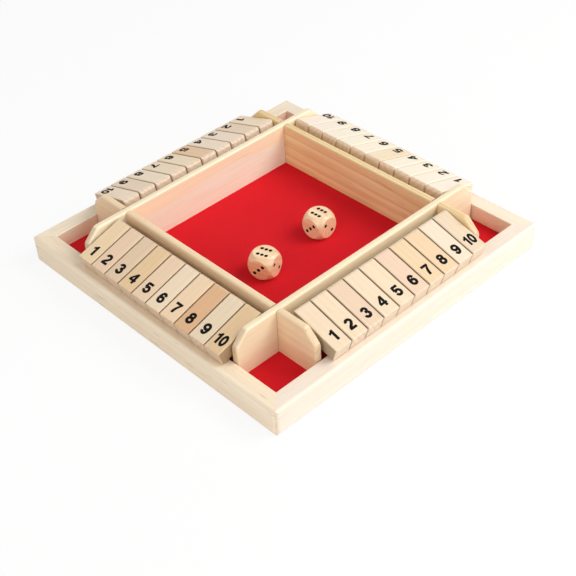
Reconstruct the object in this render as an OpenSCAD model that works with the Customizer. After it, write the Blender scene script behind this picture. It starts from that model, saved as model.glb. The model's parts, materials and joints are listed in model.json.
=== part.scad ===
// Four-player shut the box board in pine, millimetres, +Z up.
// The origin is the middle of the underside. The front player sits on the -Y side.

/* [Frame] */
// Outside length of each side of the square frame
case_side = 218; // [214:1:224]
// Thickness of a frame rail, seen from above
rail_t = 11; // [9:0.5:13]
// Height of a frame rail
rail_h = 17.8; // [16:0.2:19]
// Rounding along the outer long edges of a rail
rail_round = 2; // [0.8:0.2:2.6]
// Rounding of the four upright corners of the frame
corner_round = 3; // [1:0.5:5]
// Rounding along the inner top edge of a rail
inner_round = 0.6; // [0.2:0.1:1]

/* [Floor] */
// Thickness of the base board let into the rails
base_t = 5; // [4:0.5:6]
// Height of the base board above the table
base_recess = 1; // [0.5:0.1:1.5]
// How far the base board reaches into each rail
base_tongue = 4.5; // [3:0.5:5]
// Thickness of the red lining
lining_t = 1; // [0.6:0.1:1.4]

/* [Dividers] */
// Inside length of each side of the dice tray
tray_side = 127; // [127:1:130]
// Thickness of a divider board
divider_t = 4.5; // [4:0.1:5]
// Height of the dividers' top edge above the table
divider_top = 36.6; // [35.6:0.2:37.4]
// Size of the 45 degree cut at each upper corner of a divider
chamfer = 8.6; // [6:0.2:10]
// Radius that the two blunt corners of that cut are eased to
ease_r = 4; // [2:0.5:5]
// Rounding along the top edges of a divider
divider_round = 1.4; // [0.4:0.1:2]
// Gap between a divider's end and the frame rail
end_gap = 0.4; // [0.2:0.1:0.6]

/* [Number tiles] */
// Length of a tile
tile_l = 34; // [32:0.5:34.5]
// Width of a tile
tile_w = 11.9; // [11.2:0.05:12.1]
// Thickness of a tile
tile_t = 9.2; // [8.4:0.1:9.2]
// Distance from one tile to the next
tile_pitch = 12.55; // [12.4:0.05:12.55]
// Rounding of the hinge end's top edge
hinge_end_round = 2.4; // [0.8:0.1:3]
// Rounding of the two upright edges at the hinge end
hinge_corner_round = 1.4; // [0.8:0.1:2]
// Rounding of the edges at a tile's tip and of its lower hinge edge
end_round = 0.8; // [0.4:0.1:1.2]
// Rounding along a tile's four long edges
long_round = 0.8; // [0.4:0.1:1.6]
// Sideways play taken up by the front, right, back and left rows
row_shift = [0.9, 0.5, -0.9, 0.7]; // [-0.9:0.1:0.9]

/* [Hinge rods] */
// Diameter of a hinge rod
rod_d = 3; // [2.5:0.1:3.2]
// Radial running clearance of a tile on its rod
rod_play = 0.08; // [0.03:0.01:0.1]
// Distance from the middle of the board to a rod, seen from above
rod_offset = 75; // [74.8:0.1:75.4]
// Height of a rod above the table
rod_z = 29.9; // [29.4:0.1:30]
// Distance from a tile's hinge end to the rod
rod_from_end = 3; // [2.8:0.1:3.2]
// Distance from a tile's underside to the rod
rod_from_under = 3; // [2.8:0.1:3.2]
// Depth of the blind holes that hold a rod's ends
rod_seat = 3; // [2:0.1:3.4]

/* [Dice] */
// Width of a die across its flat faces
die_size = 16; // [14:0.5:18]
// Diameter of the ball that rounds a die off
die_ball = 20.9; // [18:0.1:22]
// Diameter of a pip
pip_d = 2.3; // [1.6:0.1:2.4]
// Depth of a pip
pip_depth = 0.4; // [0.2:0.1:0.6]
// Distance between neighbouring pips on a face
pip_gap = 2.77; // [2.4:0.01:3]
// Place and turn of the first die: x, y and degrees
die_1_at = [-26.5, -12.8, 18.7]; // [-45:0.1:45]
// Place and turn of the second die: x, y and degrees
die_2_at = [23.1, -8.8, 3]; // [-45:0.1:45]

/* [Hidden] */

$fn = 48;
SIDES = ["front", "right", "back", "left"];
tiles_per_side = 10;
over = 0.01;
past = 1;
tongue_play = 0.1;
half_case = case_side / 2;
well_outer = half_case - rail_t;
base_half = well_outer + base_tongue - tongue_play;
floor_z = base_recess + base_t + lining_t;
tray_half = tray_side / 2;
divider_mid = tray_half + divider_t / 2;
divider_half = well_outer - end_gap;
lap_z = (floor_z + divider_top) / 2;
lap_play = 0.15;
rest_gap = 0.05;
rod_end_play = 0.1;

// Slope at which the tip's lower edge comes to lie on the rail
tip_reach = tile_l - rod_from_end;
tip_drop = rod_z - rail_h - rest_gap;
tile_slope = asin(tip_drop / norm([tip_reach, rod_from_under])) - atan2(rod_from_under, tip_reach);

// Plan of the corner material that a rounding of radius r takes away
module corner_waste(r) {
    difference() {
        translate([-over, -over]) square(r + over);
        translate([r, r]) circle(r);
    }
}

// Rectangle from the origin, with its corners rounded in the order
// low left, low right, high right, high left
module eased_rectangle(size, radii) {
    difference() {
        square(size);
        if (radii[0] > 0) corner_waste(radii[0]);
        if (radii[1] > 0) translate([size.x, 0]) mirror([1, 0]) corner_waste(radii[1]);
        if (radii[2] > 0) translate(size) rotate(180) corner_waste(radii[2]);
        if (radii[3] > 0) translate([0, size.y]) mirror([0, 1]) corner_waste(radii[3]);
    }
}

// One rail of the frame along the front, mitred at both ends
module rail() {
    color("wheat") difference() {
        intersection() {
            translate([half_case, -half_case, 0]) rotate([90, 0, -90]) linear_extrude(case_side) {
                mirror([1, 0]) difference() {
                    eased_rectangle([rail_t, rail_h], [rail_round, 0, inner_round, rail_round]);
                    translate([rail_t - base_tongue, -over]) square([base_tongue + past, base_recess + base_t + over]);
                }
            }
            linear_extrude(rail_h) polygon([
                [-half_case, -half_case],
                [half_case, -half_case],
                [well_outer, -well_outer],
                [-well_outer, -well_outer]
            ]);
        }
        for (end = [0, 1]) mirror([end, 0, 0]) {
            translate([-half_case, -half_case, -over]) linear_extrude(rail_h + 2 * over) corner_waste(corner_round);
        }
    }
}

// Plywood board in the rails' rebates
module base_board() {
    color("burlywood") translate([-base_half, -base_half, base_recess]) cube([2 * base_half, 2 * base_half, base_t]);
}

// Red sheet that covers the base board inside the frame
module red_lining() {
    color("crimson") translate([-well_outer, -well_outer, floor_z - lining_t]) {
        cube([2 * well_outer, 2 * well_outer, lining_t]);
    }
}

// Wide slab whose top face is level, with both long top edges rounded.
// A divider is what several of these, tilted along its outline, have in common.
module edge_slab() {
    reach = case_side;
    rotate([90, 0, 90]) translate([-divider_t / 2, -reach, -reach]) linear_extrude(2 * reach) {
        eased_rectangle([divider_t, reach], [0, 0, divider_round, divider_round]);
    }
}

// Upper outline of a divider's right end: level, eased, 45 degrees, eased, upright
module end_outline() {
    ease_cut = ease_r * (1 / cos(22.5) - 1);
    upper = [divider_half - chamfer, divider_top];
    lower = [divider_half, divider_top - chamfer];
    intersection_for (cut = [[upper, 22.5, ease_cut], [upper, 45, 0], [lower, 67.5, ease_cut], [lower, 90, 0]]) {
        translate([cut[0].x, 0, cut[0].y]) rotate([0, cut[1], 0]) translate([0, 0, -cut[2]]) edge_slab();
    }
}

// Divider board along X, before its half laps are cut
module divider_blank() {
    difference() {
        intersection() {
            translate([0, 0, divider_top]) edge_slab();
            end_outline();
            mirror([1, 0, 0]) end_outline();
            translate([-divider_half, -divider_t, floor_z]) {
                cube([2 * divider_half, 2 * divider_t, divider_top - floor_z]);
            }
        }
        for (end = [-1, 1]) {
            translate([end * rod_offset, divider_t / 2 - rod_seat, rod_z]) rotate([-90, 0, 0]) {
                cylinder(h = rod_seat + past, d = rod_d);
            }
        }
    }
}

// Slots of a half lap at both crossings, from height low to height high
module lap_slots(low, high) {
    width = divider_t + 2 * lap_play;
    for (end = [-1, 1]) {
        translate([end * divider_mid - width / 2, -divider_t, low]) cube([width, 2 * divider_t, high - low]);
    }
}

// Front and back dividers keep their top edge whole over the crossings
module divider_over() {
    color("navajowhite") translate([0, -divider_mid, 0]) difference() {
        divider_blank();
        lap_slots(floor_z - past, lap_z);
    }
}

// Left and right dividers keep their lower edge whole under the crossings
module divider_under() {
    color("moccasin") translate([0, -divider_mid, 0]) difference() {
        divider_blank();
        lap_slots(lap_z, divider_top + past);
    }
}

// Steel rod that one row of tiles turns on
module hinge_rod() {
    length = tray_side + 2 * (rod_seat - rod_end_play);
    color("silver") translate([-length / 2, -rod_offset, rod_z]) rotate([0, 90, 0]) cylinder(h = length, d = rod_d);
}

// One number tile with the rod's axis along X through the origin and its tip towards -Y
module tile() {
    color("bisque") difference() {
        translate([-tile_w / 2, rod_from_end, -rod_from_under]) intersection() {
            rotate([90, 0, 90]) linear_extrude(tile_w) mirror([1, 0]) {
                eased_rectangle([tile_l, tile_t], [end_round, end_round, end_round, hinge_end_round]);
            }
            translate([0, -tile_l, -over]) linear_extrude(tile_t + 2 * over) {
                eased_rectangle([tile_w, tile_l], [end_round, end_round, hinge_corner_round, hinge_corner_round]);
            }
            translate([0, over, 0]) rotate([90, 0, 0]) linear_extrude(tile_l + 2 * over) {
                eased_rectangle([tile_w, tile_t], [long_round, long_round, long_round, long_round]);
            }
        }
        translate([-tile_w, 0, 0]) rotate([0, 90, 0]) cylinder(h = 2 * tile_w, d = rod_d + 2 * rod_play);
    }
}

// Tile of one side, counted from that player's left
module placed_tile(side, number) {
    along = (number - (tiles_per_side + 1) / 2) * tile_pitch + row_shift[side];
    rotate(90 * side) translate([along, -rod_offset, rod_z]) rotate([tile_slope, 0, 0]) tile();
}

// Pips of one face, sunk into the +Z side of a die
module pips(places) {
    for (place = places) {
        translate([place.x * pip_gap, place.y * pip_gap, die_size / 2 - pip_depth]) cylinder(h = past, d = pip_d);
    }
}

// Die with six on top and three on its left, opposite faces adding up to seven
module die(at) {
    one = [[0, 0]];
    two = [[1, 1], [-1, -1]];
    three = concat(one, two);
    four = concat(two, [[1, -1], [-1, 1]]);
    five = concat(one, four);
    six = concat(four, [[1, 0], [-1, 0]]);
    color("tan") translate([at.x, at.y, floor_z + die_size / 2]) rotate(at.z) difference() {
        intersection() {
            cube(die_size, center = true);
            sphere(d = die_ball);
        }
        pips(six);
        rotate([180, 0, 0]) pips(one);
        rotate([0, -90, 0]) mirror([0, 1, 0]) pips(three);
        rotate([0, 90, 0]) pips(four);
        rotate([90, 0, 0]) mirror([1, 0, 0]) pips(two);
        rotate([-90, 0, 0]) pips(five);
    }
}

for (side = [0:3]) {
    rotate(90 * side) rail();
    rotate(90 * side) hinge_rod();
    union() {
        rotate(90 * side) if (side % 2 == 0) divider_over(); else divider_under();
    }
    for (number = [1:tiles_per_side]) {
        placed_tile(side, number);
    }
}
base_board();
red_lining();
die(die_1_at);  // die_1
die(die_2_at);  // die_2
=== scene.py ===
# Shut the box board for four players: woods, red lining, printed numerals and dice pips
import bpy
import json
import math
import random
from mathutils import Euler, Matrix, Vector


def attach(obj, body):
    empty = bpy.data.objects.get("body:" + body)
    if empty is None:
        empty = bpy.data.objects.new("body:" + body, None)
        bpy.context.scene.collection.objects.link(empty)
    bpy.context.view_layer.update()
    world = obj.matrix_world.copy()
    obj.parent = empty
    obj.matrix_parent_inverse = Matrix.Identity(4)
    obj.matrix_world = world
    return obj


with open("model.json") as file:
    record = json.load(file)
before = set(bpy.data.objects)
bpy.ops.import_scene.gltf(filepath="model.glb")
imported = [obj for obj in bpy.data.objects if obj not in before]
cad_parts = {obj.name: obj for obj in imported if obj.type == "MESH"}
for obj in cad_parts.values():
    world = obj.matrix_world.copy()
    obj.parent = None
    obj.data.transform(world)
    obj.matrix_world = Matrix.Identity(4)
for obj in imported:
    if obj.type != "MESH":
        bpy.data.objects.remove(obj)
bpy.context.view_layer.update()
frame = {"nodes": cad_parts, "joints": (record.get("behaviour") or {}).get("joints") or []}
mm = 0.001
sideNames = ["front", "right", "back", "left"]
print("frame loaded:", len(frame["nodes"]), "parts")


viewpoint = {
    "lens": 72.26,                          # millimetres on a 36 mm wide sensor
    "sensorWidth": 36.0,
    "place": (-0.37325, -0.42132, 0.4425),
    "rightAxis": (0.7194, -0.6930, -0.0467),
    "backAxis": (-0.5101, -0.5728, 0.6417),
}

lighting = {
    "skyStrength": 0.42,
    # each lamp: power in watts, width, place, colour
    "lamps": {
        "keyLamp": (7.2, 0.7, (0.56, -0.50, 0.80), (1.0, 0.985, 0.96)),
        "fillLamp": (4.1, 1.0, (-1.02, -0.18, 0.60), (1.0, 0.99, 0.97)),
        "frontLamp": (2.7, 0.6, (0.06, -0.95, 0.42), (1.0, 0.99, 0.97)),
    },
    "floorColor": (0.92, 0.92, 0.92),
    "floorRoughness": 0.9,
    "floorSpecular": 0.1,
    "floorSize": 12.0,
    "floorGlow": 0.86,                      # how far the camera sees the floor as plain white
}


def deselectAll():
    if bpy.context.object and bpy.context.object.mode != "OBJECT":
        bpy.ops.object.mode_set(mode="OBJECT")
    bpy.ops.object.select_all(action="DESELECT")


def makeOnly(piece):
    deselectAll()
    piece.select_set(True)
    bpy.context.view_layer.objects.active = piece


def placeCamera():
    right = Vector(viewpoint["rightAxis"]).normalized()
    back = Vector(viewpoint["backAxis"])
    back = (back - back.dot(right) * right).normalized()
    up = back.cross(right)
    turn = Matrix((right, up, back)).transposed()
    deselectAll()
    bpy.ops.object.camera_add(location=viewpoint["place"], rotation=turn.to_euler())
    camera = bpy.context.object
    camera.name = "photoCamera"
    camera.data.lens = viewpoint["lens"]
    camera.data.sensor_width = viewpoint["sensorWidth"]
    camera.data.dof.use_dof = False
    bpy.context.scene.camera = camera


def lightScene():
    for name, (power, size, place, color) in lighting["lamps"].items():
        deselectAll()
        aim = Vector(place).to_track_quat("Z", "Y").to_euler()
        bpy.ops.object.light_add(type="AREA", location=place, rotation=aim)
        lamp = bpy.context.object
        lamp.name = name
        lamp.data.shape = "DISK"
        lamp.data.size = size
        lamp.data.energy = power
        lamp.data.color = color

    world = bpy.data.worlds.new("paleStudio")
    bpy.context.scene.world = world
    world.use_nodes = True
    nodes, links = world.node_tree.nodes, world.node_tree.links
    background = nodes["Background"]
    background.inputs["Color"].default_value = (1, 1, 1, 1)
    path = nodes.new("ShaderNodeLightPath")
    seen = nodes.new("ShaderNodeMath")
    seen.operation = "MAXIMUM"
    links.new(path.outputs["Is Camera Ray"], seen.inputs[0])
    links.new(path.outputs["Is Glossy Ray"], seen.inputs[1])
    seenOrThrough = nodes.new("ShaderNodeMath")
    seenOrThrough.operation = "MAXIMUM"
    links.new(seen.outputs[0], seenOrThrough.inputs[0])
    links.new(path.outputs["Is Transmission Ray"], seenOrThrough.inputs[1])
    strength = nodes.new("ShaderNodeMapRange")
    strength.inputs["To Min"].default_value = lighting["skyStrength"]
    strength.inputs["To Max"].default_value = 1.0
    links.new(seenOrThrough.outputs[0], strength.inputs["Value"])
    links.new(strength.outputs[0], background.inputs["Strength"])


def layFloor():
    deselectAll()
    bpy.ops.mesh.primitive_plane_add(size=lighting["floorSize"], location=(0, 0, 0))
    floor = bpy.context.object
    floor.name = "paleFloor"
    paper = bpy.data.materials.new("whitePaper")
    paper.use_nodes = True
    shader = paper.node_tree.nodes["Principled BSDF"]
    shader.inputs["Base Color"].default_value = (*lighting["floorColor"], 1)
    shader.inputs["Roughness"].default_value = lighting["floorRoughness"]
    shader.inputs["Specular IOR Level"].default_value = lighting["floorSpecular"]
    nodes, links = paper.node_tree.nodes, paper.node_tree.links
    glow = nodes.new("ShaderNodeEmission")
    path = nodes.new("ShaderNodeLightPath")
    share = nodes.new("ShaderNodeMath")
    share.operation = "MULTIPLY"
    share.inputs[1].default_value = lighting["floorGlow"]
    links.new(path.outputs["Is Camera Ray"], share.inputs[0])
    blend = nodes.new("ShaderNodeMixShader")
    links.new(share.outputs[0], blend.inputs[0])
    links.new(shader.outputs[0], blend.inputs[1])
    links.new(glow.outputs[0], blend.inputs[2])
    links.new(blend.outputs[0], nodes["Material Output"].inputs["Surface"])
    floor.data.materials.append(paper)


placeCamera()
lightScene()
layFloor()
bpy.context.scene.view_settings.view_transform = "Standard"
print("camera, lamps and floor placed")


class NodeDesk:
    # Adds nodes to one material and joins them up
    def __init__(self, name):
        self.material = bpy.data.materials.new(name)
        self.material.use_nodes = True
        self.nodes = self.material.node_tree.nodes
        self.links = self.material.node_tree.links
        self.shader = self.nodes["Principled BSDF"]

    def add(self, kind, sockets=None, **settings):
        node = self.nodes.new("ShaderNode" + kind)
        for key, value in settings.items():
            setattr(node, key, value)
        for key, value in (sockets or {}).items():
            self.feed(value, node.inputs[key])
        return node

    def feed(self, value, socket):
        if hasattr(value, "is_output"):
            self.links.new(value, socket)
        else:
            socket.default_value = value

    def mix(self, factor, first, second):
        node = self.add("Mix", data_type="RGBA", clamp_factor=True)
        self.feed(factor, node.inputs[0])
        self.feed(first, node.inputs[6])
        self.feed(second, node.inputs[7])
        return node.outputs[2]

    def span(self, value, low, high, toLow=0.0, toHigh=1.0):
        ends = {"Value": value, "From Min": low, "From Max": high, "To Min": toLow, "To Max": toHigh}
        return self.add("MapRange", ends).outputs[0]

    def noise(self, vector, scale, detail=2.0, rough=0.5):
        node = self.add("TexNoise", {"Vector": vector, "Scale": scale, "Detail": detail, "Roughness": rough})
        return node.outputs[0]

    def stretched(self, vector, along):
        # The same place with its length along Y squeezed, so that a pattern is drawn out there
        squeeze = {"Vector": vector, "Scale": (1.0, along, 1.0)}
        return self.add("Mapping", squeeze, vector_type="POINT").outputs[0]

    def facing(self, normal, axis, low, high):
        # How far the surface looks along an axis, either way
        dot = self.add("VectorMath", {0: normal, 1: tuple(axis)}, operation="DOT_PRODUCT")
        return self.span(self.maths("ABSOLUTE", dot.outputs["Value"]), low, high)

    def maths(self, operation, first, second=0.0):
        node = self.add("Math", operation=operation)
        self.feed(first, node.inputs[0])
        self.feed(second, node.inputs[1])
        return node.outputs[0]


def opaque(color, share=1.0):
    return (color[0] * share, color[1] * share, color[2] * share, 1.0)


# Pine: growth rings round a pith outside the board, fine fibres, short flecks and brown end grain
pine = {
    "ringScale": 95.0,                      # about 300 rings a metre
    "ringBend": 5.0,
    "ringStretch": 0.10,
    "lateFrom": 0.30,                       # where in a ring the late wood starts and is darkest
    "lateFull": 0.90,
    "lateAfter": 0.15,
    "fibreScale": 1500.0,
    "broadFibreScale": 330.0,
    "fibreStretch": 0.02,
    "fibreShare": 0.30,
    "broadFibreShare": 0.40,
    "fibreShade": 0.80,                     # against the late wood
    "fleckScale": 560.0,
    "fleckStretch": 0.11,
    "fleckShade": 0.55,
    "patchScale": 45.0,
    "patchStretch": 0.35,
    "heartScale": 28.0,
    "heartWave": 0.008,                     # metres that the low band's edge wanders up and down
    "heartEdge": 0.0012,
    "endRingShare": 0.45,
    "endRingShade": 0.72,
    "poreScale": 2600.0,
    "poreShare": 0.35,
    "poreShade": 0.60,
    "roughLow": 0.40,
    "roughHigh": 0.58,
    "coat": 0.12,
    "coatRoughness": 0.35,
    "fibreRelief": 0.6,
    "ringRelief": 0.25,
    "bump": {"Strength": 0.35, "Distance": 0.00012},
}


def pineMaterial(name, wood, origin, turn, pith):
    # The grain runs along the turned Y axis; origin and turn place the board in the log
    light, late, end = wood["light"], wood["late"], wood["end"]
    desk = NodeDesk(name)
    spot = desk.add("TexCoord")
    board = {"Vector": spot.outputs["Object"], "Location": origin, "Rotation": turn}
    local = desk.add("Mapping", board, vector_type="TEXTURE").outputs[0]
    inLog = {"Vector": local, "Location": pith, "Scale": (1.0, pine["ringStretch"], 1.0)}
    log = desk.add("Mapping", inLog, vector_type="POINT")
    rings = desk.add(
        "TexWave",
        {"Vector": log.outputs[0], "Scale": pine["ringScale"], "Distortion": pine["ringBend"], "Detail": 2.0,
         "Detail Scale": 0.35, "Detail Roughness": 0.45},
        wave_type="RINGS", rings_direction="Y", wave_profile="SAW",
    )
    lateWood = desk.add("ValToRGB", {"Fac": rings.outputs["Fac"]})
    ramp = lateWood.color_ramp.elements
    ramp[0].position, ramp[0].color = pine["lateFrom"], (0, 0, 0, 1)
    ramp[1].position, ramp[1].color = pine["lateFull"], (1, 1, 1, 1)
    ringEdge = ramp.new(1.0)
    ringEdge.color = opaque((1, 1, 1), pine["lateAfter"])

    alongFibre = desk.stretched(local, pine["fibreStretch"])
    fibre = desk.noise(alongFibre, pine["fibreScale"], 3.0, 0.6)
    broadFibre = desk.noise(alongFibre, pine["broadFibreScale"], 2.0, 0.5)
    shortFibre = desk.stretched(local, pine["fleckStretch"])
    fleck = desk.span(desk.noise(shortFibre, pine["fleckScale"], 1.0, 0.5), 0.66, 0.74)
    patch = desk.noise(desk.stretched(local, pine["patchStretch"]), pine["patchScale"], 2.0, 0.5)

    color = opaque(light)
    if "heart" in wood:                     # a band below a wavy line: heartwood on the front, right and left boards, darker on the front and left; on the back board painted light, paler and less red, to offset the red light that the lining throws on it
        apart = desk.add("SeparateXYZ", {0: local})
        wander = desk.noise(desk.stretched(local, 0.5), pine["heartScale"], 1.0, 0.4)
        wave = desk.span(wander, 0.0, 1.0, -pine["heartWave"], pine["heartWave"])
        height = desk.maths("ADD", apart.outputs[2], wave)
        above, below = wood["heartTop"] + pine["heartEdge"], wood["heartTop"] - pine["heartEdge"]
        inLowBand = desk.span(height, above, below)
        color = desk.mix(inLowBand, color, opaque(wood["heart"]))
    color = desk.mix(desk.maths("MULTIPLY", lateWood.outputs[0], wood["rings"]), color, opaque(late))
    color = desk.mix(desk.span(patch, 0.35, 0.75, 0.0, wood["patches"]), color, opaque(late))
    color = desk.mix(desk.span(broadFibre, 0.38, 0.68, 0.0, pine["broadFibreShare"]), color, opaque(late))
    fibreColor = opaque(late, pine["fibreShade"])
    color = desk.mix(desk.span(fibre, 0.45, 0.75, 0.0, pine["fibreShare"]), color, fibreColor)
    fleckColor = opaque(late, pine["fleckShade"])
    color = desk.mix(desk.maths("MULTIPLY", fleck, wood["flecks"]), color, fleckColor)

    boardTurn = Euler(turn).to_matrix()
    if "sawn" in wood:                      # painted shade: the sides that face the next tile are darker and browner, so the gaps between tiles look dark
        gapShadeMask = desk.facing(spot.outputs["Normal"], boardTurn @ Vector((1, 0, 0)), 0.60, 0.92)
        color = desk.mix(gapShadeMask, color, opaque(late, wood["sawn"]))
    endGrain = desk.facing(spot.outputs["Normal"], boardTurn @ Vector((0, 1, 0)), *wood["endFrom"])
    endRings = desk.maths("MULTIPLY", lateWood.outputs[0], pine["endRingShare"])
    endColor = desk.mix(endRings, opaque(end), opaque(end, pine["endRingShade"]))
    poreNoise = desk.noise(local, pine["poreScale"], 2.0, 0.6)
    pores = desk.span(poreNoise, 0.50, 0.75, 0.0, pine["poreShare"])
    endColor = desk.mix(pores, endColor, opaque(end, pine["poreShade"]))
    color = desk.mix(endGrain, color, endColor)
    desk.feed(color, desk.shader.inputs["Base Color"])

    roughness = desk.span(fibre, 0.30, 0.70, pine["roughLow"], pine["roughHigh"])
    desk.feed(roughness, desk.shader.inputs["Roughness"])
    ringRelief = desk.maths("MULTIPLY", lateWood.outputs[0], pine["ringRelief"])
    fibreRelief = desk.maths("MULTIPLY", fibre, pine["fibreRelief"])
    relief = desk.maths("ADD", fibreRelief, ringRelief)
    bump = desk.add("Bump", {"Height": relief, **pine["bump"]})
    desk.feed(bump.outputs[0], desk.shader.inputs["Normal"])
    desk.shader.inputs["Coat Weight"].default_value = pine["coat"]
    desk.shader.inputs["Coat Roughness"].default_value = pine["coatRoughness"]
    return desk.material


def dress(node, material):
    # Puts one material on every slot of a CAD part
    part = frame["nodes"][node]
    if not part.data.materials:
        part.data.materials.append(material)
    for slot in part.material_slots:
        slot.material = material


# Light wood and late wood of the frame rails and the divider boards, one set per side
railWood = {
    "front": {"light": (0.87, 0.76, 0.66), "late": (0.84, 0.71, 0.56), "rings": 0.20, "flecks": 0.20},
    "right": {"light": (0.91, 0.82, 0.68), "late": (0.85, 0.69, 0.50), "rings": 0.22, "flecks": 0.15},
    "back": {"light": (0.95, 0.84, 0.66), "late": (0.87, 0.70, 0.51), "rings": 0.30, "flecks": 0.30},
    "left": {"light": (0.93, 0.80, 0.61), "late": (0.82, 0.64, 0.45), "rings": 0.22, "flecks": 0.45},
}
dividerWood = {
    "front": {"light": (0.92, 0.80, 0.57), "late": (0.82, 0.64, 0.42), "rings": 0.30, "flecks": 0.12,
              "heart": (0.88, 0.73, 0.55), "heartTop": -0.002},
    "right": {"light": (0.93, 0.78, 0.47), "late": (0.72, 0.44, 0.17), "rings": 0.70, "flecks": 0.25,
              "heart": (0.97, 0.76, 0.44), "heartTop": -0.001},
    # painted light: the back board's low band is paler and less red than its wood, to offset the red light
    # that the lining throws on its lower part
    "back": {"light": (0.94, 0.81, 0.58), "late": (0.92, 0.75, 0.54), "rings": 0.18, "flecks": 0.12,
             "heart": (0.88, 0.89, 0.77), "heartTop": 0.010},
    "left": {"light": (0.91, 0.73, 0.49), "late": (0.80, 0.57, 0.34), "rings": 0.30, "flecks": 0.15,
             "heart": (0.82, 0.62, 0.40), "heartTop": -0.002},
}
boardFinish = {"end": (0.70, 0.50, 0.32), "endFrom": (0.45, 0.85), "patches": 0.30}
boardCut = {
    "seed": 11,
    "out": {"rail": 0.104, "divider": 0.066},           # from the middle of the game to the board's own
    "height": 0.018,
    "pith": ((0.05, 0.09), (0.0, 0.4), (-0.05, -0.02)),  # how far off it is, across, along and below
}

random.seed(boardCut["seed"])
for sideNumber, side in enumerate(sideNames):
    alongRail = math.radians(90 * sideNumber + 90)
    for kind, woods in (("rail", railWood), ("divider", dividerWood)):
        wood = {**boardFinish, **woods[side]}
        middle = Vector((0.0, -boardCut["out"][kind], boardCut["height"]))
        origin = Matrix.Rotation(math.radians(90 * sideNumber), 3, "Z") @ middle
        pith = tuple(random.uniform(*reach) for reach in boardCut["pith"])
        name = kind + "Pine" + side.capitalize()
        dress(kind + "_" + side, pineMaterial(name, wood, tuple(origin), (0.0, 0.0, alongRail), pith))
print("rails and dividers dressed")

# Tile sizes as built, in millimetres
tile = {
    "rodToTip": 31.0,
    "rodToUnderside": 3.0,
    "thickness": 9.2,
    "rodAboveRail": 12.05,
}
tipReach = math.hypot(tile["rodToTip"], tile["rodToUnderside"])
tileSlope = math.asin(tile["rodAboveRail"] / tipReach) - math.atan2(tile["rodToUnderside"], tile["rodToTip"])

tileTones = {
    "cream": {"light": (0.88, 0.70, 0.45), "late": (0.78, 0.57, 0.33)},
    "pale": {"light": (0.89, 0.74, 0.54), "late": (0.81, 0.62, 0.42)},
    "ivory": {"light": (0.92, 0.84, 0.71), "late": (0.87, 0.74, 0.57)},
    "honey": {"light": (0.83, 0.68, 0.49), "late": (0.75, 0.57, 0.38)},
    "blush": {"light": (0.80, 0.61, 0.45), "late": (0.72, 0.50, 0.34)},
    "wheat": {"light": (0.80, 0.61, 0.39), "late": (0.71, 0.50, 0.29)},
    "milk": {"light": (0.85, 0.69, 0.54), "late": (0.78, 0.60, 0.44)},
    "peach": {"light": (0.89, 0.68, 0.46), "late": (0.81, 0.56, 0.35)},
    "pink": {"light": (0.86, 0.66, 0.47), "late": (0.78, 0.54, 0.36)},
    "sand": {"light": (0.84, 0.61, 0.37), "late": (0.74, 0.49, 0.27)},
    "grey": {"light": (0.84, 0.68, 0.50), "late": (0.76, 0.58, 0.40)},
    "ash": {"light": (0.90, 0.76, 0.60), "late": (0.82, 0.65, 0.48)},
    "toffee": {"light": (0.80, 0.50, 0.29), "late": (0.70, 0.40, 0.21)},
}
# How light the tiles of a row are, their end grain, and how dark the painted shade is on the sides that face
# the next tile
rowFinish = {
    "front": {"lift": 0.98, "end": (0.80, 0.63, 0.46), "endFrom": (0.30, 0.65), "sawn": 0.55},
    "right": {"lift": 1.01, "end": (0.76, 0.54, 0.36), "endFrom": (0.12, 0.45), "sawn": 0.95},
    "back": {"lift": 1.08, "end": (0.77, 0.60, 0.45), "endFrom": (0.20, 0.50), "sawn": 0.60},
    "left": {"lift": 1.00, "end": (0.68, 0.49, 0.33), "endFrom": (0.30, 0.65), "sawn": 0.50},
}
ownLift = {("front", 10): 0.92, ("left", 3): 0.92, ("left", 8): 0.94, ("left", 10): 0.93, ("back", 5): 0.97}
rowTones = {
    "front": ["honey", "honey", "blush", "honey", "honey", "blush", "wheat", "wheat", "milk", "honey"],
    "right": ["ivory", "ivory", "ivory", "ivory", "pale", "ivory", "ivory", "ivory", "ivory", "ivory"],
    "back": ["pale", "grey", "ash", "ash", "sand", "pale", "pale", "ash", "grey", "ash"],
    "left": ["cream", "pink", "pink", "sand", "pink", "pale", "peach", "toffee", "grey", "sand"],
}

# How much a tile's wood may differ from its row's, and where in the log it was cut
tileVariety = {
    "seed": 23,
    "light": (0.98, 1.02),
    "rings": (0.12, 0.38),
    "flecks": (0.05, 0.3),
    "patches": 0.30,
    "pithAside": (0.012, 0.06),
    "pithAlong": (0, 3),
    "pithBelow": (-0.07, -0.015),
}

tileJoints = {}
for joint in frame["joints"]:
    if joint["name"].startswith("flip_"):
        side, number = joint["name"].split("_")[1:]
        tileJoints[side, int(number)] = joint


def tileMatrix(side, number):
    # From the tile's own frame, rod along X and tip towards -Y, to the board's
    quarter = math.radians(90 * sideNames.index(side))
    place = Vector(tileJoints[side, number]["pos_m"])
    return Matrix.Translation(place) @ Matrix.Rotation(quarter, 4, "Z") @ Matrix.Rotation(tileSlope, 4, "X")


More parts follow.
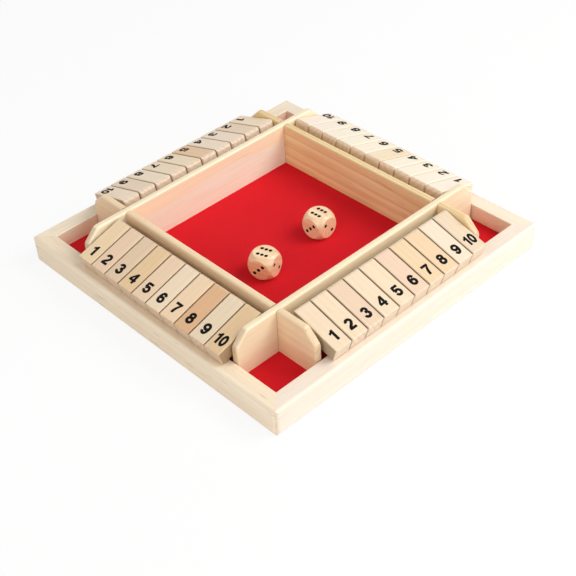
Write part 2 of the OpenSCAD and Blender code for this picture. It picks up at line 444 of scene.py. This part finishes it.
random.seed(tileVariety["seed"])
for side, number in sorted(tileJoints):
    wood = {**tileTones[rowTones[side][number - 1]], **rowFinish[side], "patches": tileVariety["patches"]}
    lift = rowFinish[side]["lift"] * ownLift.get((side, number), 1.0)
    wood["light"] = [v * lift * random.uniform(*tileVariety["light"]) for v in wood["light"]]
    wood["late"] = [v * lift for v in wood["late"]]
    wood["rings"] = random.uniform(*tileVariety["rings"])
    wood["flecks"] = random.uniform(*tileVariety["flecks"])
    aside = random.choice((-1, 1)) * random.uniform(*tileVariety["pithAside"])
    pith = (aside, random.uniform(*tileVariety["pithAlong"]), random.uniform(*tileVariety["pithBelow"]))
    name = side + "_" + str(number)
    place = tileMatrix(side, number)
    where = (tuple(place.translation), tuple(place.to_euler()))
    dress("tile_" + name, pineMaterial("tilePine_" + name, wood, *where, pith))
print("tiles dressed:", len(tileJoints))


lining = {
    "deep": (0.63, 0.012, 0.019),
    "bright": (0.73, 0.018, 0.028),
    "cloud": (0.57, 0.010, 0.016),
    "flockScale": 3200.0,
    "cloudScale": 14.0,
    "cloudShare": 0.20,
    "roughness": (0.72, 0.84),
    "specular": 0.05,
    "bump": {"Strength": 0.25, "Distance": 0.00006},
}


def liningMaterial():
    desk = NodeDesk("redLining")
    spot = desk.add("TexCoord").outputs["Object"]
    flock = desk.noise(spot, lining["flockScale"], 3.0, 0.7)
    cloud = desk.noise(spot, lining["cloudScale"], 2.0, 0.5)
    color = desk.mix(desk.span(flock, 0.35, 0.70), opaque(lining["deep"]), opaque(lining["bright"]))
    clouded = desk.span(cloud, 0.35, 0.70, 0.0, lining["cloudShare"])
    color = desk.mix(clouded, color, opaque(lining["cloud"]))
    desk.feed(color, desk.shader.inputs["Base Color"])
    desk.feed(desk.span(cloud, 0.3, 0.7, *lining["roughness"]), desk.shader.inputs["Roughness"])
    bump = desk.add("Bump", {"Height": flock, **lining["bump"]})
    desk.feed(bump.outputs[0], desk.shader.inputs["Normal"])
    desk.shader.inputs["Specular IOR Level"].default_value = lining["specular"]
    return desk.material


basePly = {
    "light": (0.78, 0.62, 0.42),
    "dark": (0.66, 0.48, 0.30),
    "fibre": (0.52, 0.35, 0.20),
    "glueLine": (0.50, 0.33, 0.19),
    "grainStretch": 0.04,
    "grainScale": 190.0,
    "fibreScale": 1400.0,
    "plyScale": 190.0,
    "fibreShare": 0.35,
    "glueShare": 0.18,
    "roughness": (0.62, 0.78),
    "bump": {"Strength": 0.4, "Distance": 0.0002},
}


def plyMaterial():
    desk = NodeDesk("basePly")
    spot = desk.add("TexCoord").outputs["Object"]
    grain = desk.stretched(spot, basePly["grainStretch"])
    wide = desk.noise(grain, basePly["grainScale"], 3.0, 0.55)
    fine = desk.noise(grain, basePly["fibreScale"], 2.0, 0.6)
    layers = {"Vector": spot, "Scale": basePly["plyScale"], "Distortion": 0.6, "Detail": 1.0}
    plies = desk.add("TexWave", layers, wave_type="BANDS", bands_direction="Z")
    color = desk.mix(desk.span(wide, 0.35, 0.70), opaque(basePly["light"]), opaque(basePly["dark"]))
    color = desk.mix(desk.span(fine, 0.50, 0.75, 0.0, basePly["fibreShare"]), color, opaque(basePly["fibre"]))
    glueLines = desk.maths("MULTIPLY", plies.outputs["Fac"], basePly["glueShare"])
    color = desk.mix(glueLines, color, opaque(basePly["glueLine"]))
    desk.feed(color, desk.shader.inputs["Base Color"])
    desk.feed(desk.span(fine, 0.3, 0.7, *basePly["roughness"]), desk.shader.inputs["Roughness"])
    bump = desk.add("Bump", {"Height": fine, **basePly["bump"]})
    desk.feed(bump.outputs[0], desk.shader.inputs["Normal"])
    return desk.material


rodSteel = {
    "clean": (0.62, 0.62, 0.61),
    "tarnished": (0.46, 0.45, 0.43),
    "scratchScale": 900.0,
    "tarnishScale": 60.0,
    "roughness": (0.22, 0.42),
    "bump": {"Strength": 0.2, "Distance": 0.00002},
}


def steelMaterial():
    desk = NodeDesk("drawnSteel")
    spot = desk.add("TexCoord").outputs["Object"]
    scratch = desk.noise(spot, rodSteel["scratchScale"], 3.0, 0.6)
    tarnish = desk.noise(spot, rodSteel["tarnishScale"], 2.0, 0.5)
    color = desk.mix(desk.span(tarnish, 0.35, 0.75), opaque(rodSteel["clean"]), opaque(rodSteel["tarnished"]))
    desk.feed(color, desk.shader.inputs["Base Color"])
    desk.feed(desk.span(scratch, 0.3, 0.7, *rodSteel["roughness"]), desk.shader.inputs["Roughness"])
    bump = desk.add("Bump", {"Height": scratch, **rodSteel["bump"]})
    desk.feed(bump.outputs[0], desk.shader.inputs["Normal"])
    desk.shader.inputs["Metallic"].default_value = 1.0
    return desk.material


printInk = {
    "solid": (0.003, 0.003, 0.003),
    "thin": (0.016, 0.013, 0.011),
    "speckScale": 2400.0,
    "roughness": (0.50, 0.66),
    "specular": 0.08,
    "bump": {"Strength": 0.2, "Distance": 0.00003},
}


def printMaterial():
    # Black ink that the grain below shows through a little
    desk = NodeDesk("blackPrint")
    spot = desk.add("TexCoord").outputs["Object"]
    speck = desk.noise(spot, printInk["speckScale"], 3.0, 0.65)
    color = desk.mix(desk.span(speck, 0.55, 0.80), opaque(printInk["solid"]), opaque(printInk["thin"]))
    desk.feed(color, desk.shader.inputs["Base Color"])
    desk.feed(desk.span(speck, 0.3, 0.7, *printInk["roughness"]), desk.shader.inputs["Roughness"])
    bump = desk.add("Bump", {"Height": speck, **printInk["bump"]})
    desk.feed(bump.outputs[0], desk.shader.inputs["Normal"])
    desk.shader.inputs["Specular IOR Level"].default_value = printInk["specular"]
    return desk.material


dress("red_lining", liningMaterial())
dress("base_board", plyMaterial())
steel = steelMaterial()
for side in sideNames:
    dress("rod_" + side, steel)
blackPrint = printMaterial()

# Dice wood, each with its own run of the grain
dice = {
    "die_1": {"place": (-26.5, -12.8, 15.0), "turn": 18.7, "pith": (0.009, 0.3, 0.011)},
    "die_2": {"place": (23.1, -8.8, 15.0), "turn": 3.0, "pith": (-0.012, 1.7, 0.008)},
}
diceWood = {
    "light": (0.96, 0.76, 0.51),
    "late": (0.82, 0.50, 0.26),
    "end": (0.95, 0.68, 0.43),
    "endFrom": (0.55, 0.90),
    "rings": 0.60,
    "flecks": 0.1,
    "patches": 0.35,
}
diceVarnish = {"Coat Weight": 0.6, "Coat Roughness": 0.18}
for name, die in dice.items():
    place = Vector(die["place"]) * mm
    turn = (0.0, 0.0, math.radians(die["turn"]))
    material = pineMaterial("diceWood_" + name, diceWood, tuple(place), turn, die["pith"])
    shader = material.node_tree.nodes["Principled BSDF"]
    for socket, value in diceVarnish.items():
        shader.inputs[socket].default_value = value
    dress(name, material)
print("lining, base, rods and dice dressed")


numeral = {
    "inkTop": 0.04,                         # how far the ink stands over the wood
    "inkBottom": 0.06,                      # how far the piece reaches into the wood
    "weight": 1.34,                         # stroke width against the drawn width
    "arcSteps": 22,
    "toRod": {"front": 22.4, "right": 23.9, "back": 24.0, "left": 22.5},
    "aside": {"front": 0.3, "right": 0.9, "back": 0.1, "left": 0.0},
    # the two digits of the "10": moved along the row, and how narrow
    "tenParts": {"1": (-2.45, 0.86), "0": (1.75, 0.84)},
}


def arcPoints(centre, radii, start, stop):
    steps = numeral["arcSteps"]
    points = []
    for step in range(steps + 1):
        angle = math.radians(start + (stop - start) * step / steps)
        points.append((centre[0] + radii[0] * math.cos(angle), centre[1] + radii[1] * math.sin(angle)))
    return points


def drawLine(loops, closed):
    # A flat curve of straight stretches, one for each list of points
    deselectAll()
    bpy.ops.curve.primitive_nurbs_path_add(location=(0, 0, 0))
    line = bpy.context.object
    line.data.splines.clear()
    for points in loops:
        spline = line.data.splines.new("POLY")
        spline.points.add(len(points) - 1)
        for point, (x, y) in zip(spline.points, points):
            point.co = (x, y, 0, 1)
        spline.use_cyclic_u = closed
    line.data.dimensions = "2D"
    line.data.extrude = (numeral["inkTop"] + numeral["inkBottom"]) / 2
    return line


def inkStroke(points, width, closed=False):
    # A pen stroke: the line drawn out upwards, then thickened to both sides
    if closed:
        points = points[:-1]
    line = drawLine([points], closed)
    line.data.fill_mode = "NONE"
    bpy.ops.object.convert(target="MESH")
    stroke = bpy.context.object
    thicken = stroke.modifiers.new("penWidth", "SOLIDIFY")
    thicken.thickness = width * numeral["weight"]
    thicken.offset = 0.0
    thicken.use_even_offset = True
    bpy.ops.object.modifier_apply(modifier="penWidth")
    return stroke


def inkShape(loops):
    # A shape filled between its outlines
    line = drawLine(loops, True)
    line.data.fill_mode = "BOTH"
    bpy.ops.object.convert(target="MESH")
    shape = bpy.context.object
    makeOnly(shape)
    bpy.ops.object.mode_set(mode="EDIT")
    bpy.ops.mesh.select_all(action="SELECT")
    bpy.ops.mesh.remove_doubles(threshold=0.001)
    bpy.ops.mesh.normals_make_consistent(inside=False)
    bpy.ops.object.mode_set(mode="OBJECT")
    return shape


def uniteInk(strokes):
    first = strokes[0]
    for other in strokes[1:]:
        makeOnly(first)
        union = first.modifiers.new("unite", "BOOLEAN")
        union.operation = "UNION"
        union.solver = "EXACT"
        union.object = other
        bpy.ops.object.modifier_apply(modifier="unite")
        makeOnly(other)
        bpy.ops.object.delete()
    return first


def digitInk(digit):
    if digit == "0":
        return inkStroke(arcPoints((0, 0), (1.70, 2.86), 0, 360), 1.34, True)
    if digit == "1":
        return inkShape([[(-0.22, -3.6), (1.62, -3.6), (1.62, 3.6), (0.24, 3.6), (-0.12, 3.00), (-0.75, 2.50),
                          (-1.70, 2.24), (-1.70, 0.76), (-0.86, 0.98), (-0.22, 1.34)]])
    if digit == "2":
        bowl = arcPoints((0, 1.42), (1.68, 1.46), 178, -38)
        tail = [(0.62, -0.42), (-0.45, -1.25), (-1.30, -2.10), (-1.72, -2.92)]
        return uniteInk([inkStroke(bowl + tail, 1.32), inkStroke([(-2.38, -2.90), (2.38, -2.90)], 1.22)])
    if digit == "3":
        upper = arcPoints((-0.02, 1.62), (1.50, 1.27), 182, -90) + [(-0.55, 0.35)]
        lower = [(-0.55, 0.32)] + arcPoints((0, -1.30), (1.70, 1.60), 90, -178)
        return uniteInk([inkStroke(upper, 1.26), inkStroke(lower, 1.32)])
    if digit == "4":
        outer = [(0.20, -3.6), (1.94, -3.6), (1.94, -2.14), (2.58, -2.14), (2.58, -0.66), (1.94, -0.66),
                 (1.94, 3.6), (0.36, 3.6), (-2.66, -0.56), (-2.66, -2.14), (0.20, -2.14)]
        hole = [(0.20, -0.66), (-0.96, -0.66), (0.20, 1.16)]
        return inkShape([outer, hole])
    if digit == "5":
        bar = inkStroke([(-1.58, 2.90), (2.12, 2.90)], 1.22)
        stem = inkStroke([(-1.52, 3.48), (-1.82, 0.10)], 1.22)
        bowl = inkStroke([(-1.80, 0.22)] + arcPoints((0, -1.14), (1.70, 1.74), 138, -172), 1.32)
        return uniteInk([bar, stem, bowl])
    if digit == "7":
        return inkShape([[(-2.54, 3.6), (2.54, 3.6), (2.54, 2.44), (1.74, 1.26), (1.08, -0.12),
                          (0.62, -1.72), (0.40, -3.6), (-1.48, -3.6), (-1.26, -1.90), (-0.76, -0.26),
                          (-0.06, 1.00), (0.62, 1.98), (-2.54, 1.98)]])
    if digit == "8":
        upper = inkStroke(arcPoints((0, 1.64), (1.48, 1.26), 0, 360), 1.24, True)
        lower = inkStroke(arcPoints((0, -1.26), (1.70, 1.62), 0, 360), 1.32, True)
        return uniteInk([upper, lower])
    bowl = inkStroke(arcPoints((0.03, -1.24), (1.68, 1.62), 0, 360), 1.30, True)
    sweep = inkStroke([(-1.70, -1.30)] + arcPoints((0.10, 0.0), (1.80, 2.88), 180, 30), 1.30)
    six = uniteInk([bowl, sweep])
    if digit == "9":
        makeOnly(six)
        six.data.transform(Matrix.Rotation(math.pi, 4, "Z"))
    return six


def numeralMasters():
    masters = {}
    for digit in "0123456789":
        ink = digitInk(digit)
        ink.name = "ink_" + digit
        masters[digit] = ink
    parts = []
    for digit, (moved, narrowed) in numeral["tenParts"].items():
        part = masters[digit].copy()
        part.data = masters[digit].data.copy()
        part.data.transform(Matrix.Translation((moved, 0, 0)) @ Matrix.Diagonal((narrowed, 1, 1, 1)))
        bpy.context.collection.objects.link(part)
        parts.append(part)
    makeOnly(parts[0])
    parts[1].select_set(True)
    bpy.ops.object.join()
    parts[0].name = "ink_10"
    masters["10"] = parts[0]
    return masters


masters = numeralMasters()
faceHeight = tile["thickness"] - tile["rodToUnderside"]
for side, number in sorted(tileJoints):
    master = masters[str(number)]
    ink = master.copy()
    ink.data = master.data.copy()
    ink.name = "numeral_" + side + "_" + str(number)
    bpy.context.collection.objects.link(ink)
    middle = faceHeight + (numeral["inkTop"] - numeral["inkBottom"]) / 2
    spot = Vector((numeral["aside"][side], -numeral["toRod"][side], middle)) * mm
    ink.data.transform(tileMatrix(side, number) @ Matrix.Translation(spot) @ Matrix.Scale(mm, 4))
    ink.data.materials.clear()
    ink.data.materials.append(blackPrint)
    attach(ink, "tile_" + side + "_" + str(number))
for master in masters.values():
    makeOnly(master)
    bpy.ops.object.delete()
print("numerals printed")


pip = {
    "radius": 1.13,                         # millimetres, just inside the drilled hole
    "spacing": 2.77,
    "holeDepth": 0.40,
    "paintTop": 0.06,                       # below the face
    "underGap": 0.005,                      # between the paint and the bottom of the hole
    "halfDie": 8.0,
    "sides": 24,
    "smoothAngle": 40,                      # degrees
    "rings": ((0.12, 0.035), (0.42, 0.05), (0.38, 0.01)),     # each inset, and how far it sinks
}
one = [(0, 0)]
two = [(1, 1), (-1, -1)]
three = one + two
four = two + [(1, -1), (-1, 1)]
five = one + four
six = four + [(1, 0), (-1, 0)]
quarterTurn = math.radians(90)
pipFaces = [
    (Matrix.Identity(4), six),
    (Matrix.Rotation(math.pi, 4, "X"), one),
    (Matrix.Rotation(-quarterTurn, 4, "Y") @ Matrix.Scale(-1, 4, (0, 1, 0)), three),
    (Matrix.Rotation(quarterTurn, 4, "Y"), four),
    (Matrix.Rotation(quarterTurn, 4, "X") @ Matrix.Scale(-1, 4, (1, 0, 0)), two),
    (Matrix.Rotation(-quarterTurn, 4, "X"), five),
]


def pipMaster():
    # A shallow dished plug of paint, its rim softly rounded
    deselectAll()
    depth = pip["holeDepth"] - pip["paintTop"] - 2 * pip["underGap"]
    bpy.ops.mesh.primitive_cylinder_add(
        vertices=pip["sides"], radius=pip["radius"], depth=depth, location=(0, 0, depth / 2))
    plug = bpy.context.object
    bpy.ops.object.transform_apply(location=True)
    bpy.ops.object.mode_set(mode="EDIT")
    bpy.ops.mesh.select_all(action="DESELECT")
    bpy.ops.object.mode_set(mode="OBJECT")
    for face in plug.data.polygons:
        face.select = face.normal.z > 0.9
    bpy.ops.object.mode_set(mode="EDIT")
    bpy.ops.mesh.select_mode(type="FACE")
    for thickness, sink in pip["rings"]:
        bpy.ops.mesh.inset(thickness=thickness)
        bpy.ops.transform.translate(value=(0, 0, -sink))
    bpy.ops.object.mode_set(mode="OBJECT")
    return plug


plug = pipMaster()
for name, die in dice.items():
    turned = Matrix.Rotation(math.radians(die["turn"]), 4, "Z")
    diePlace = Matrix.Translation(Vector(die["place"]) * mm) @ turned @ Matrix.Scale(mm, 4)
    plugs = []
    for facing, places in pipFaces:
        for x, y in places:
            dot = plug.copy()
            dot.data = plug.data.copy()
            bpy.context.collection.objects.link(dot)
            floorOfHole = pip["halfDie"] - pip["holeDepth"] + pip["underGap"]
            spot = Matrix.Translation((x * pip["spacing"], y * pip["spacing"], floorOfHole))
            dot.data.transform(diePlace @ facing @ spot)
            if facing.determinant() < 0:
                dot.data.flip_normals()
            plugs.append(dot)
    deselectAll()
    for dot in plugs:
        dot.select_set(True)
    bpy.context.view_layer.objects.active = plugs[0]
    bpy.ops.object.join()
    paint = bpy.context.object
    paint.name = "pips_" + name
    paint.data.materials.clear()
    paint.data.materials.append(blackPrint)
    bpy.ops.object.shade_smooth_by_angle(angle=math.radians(pip["smoothAngle"]))
    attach(paint, name)
makeOnly(plug)
bpy.ops.object.delete()
print("pips painted")
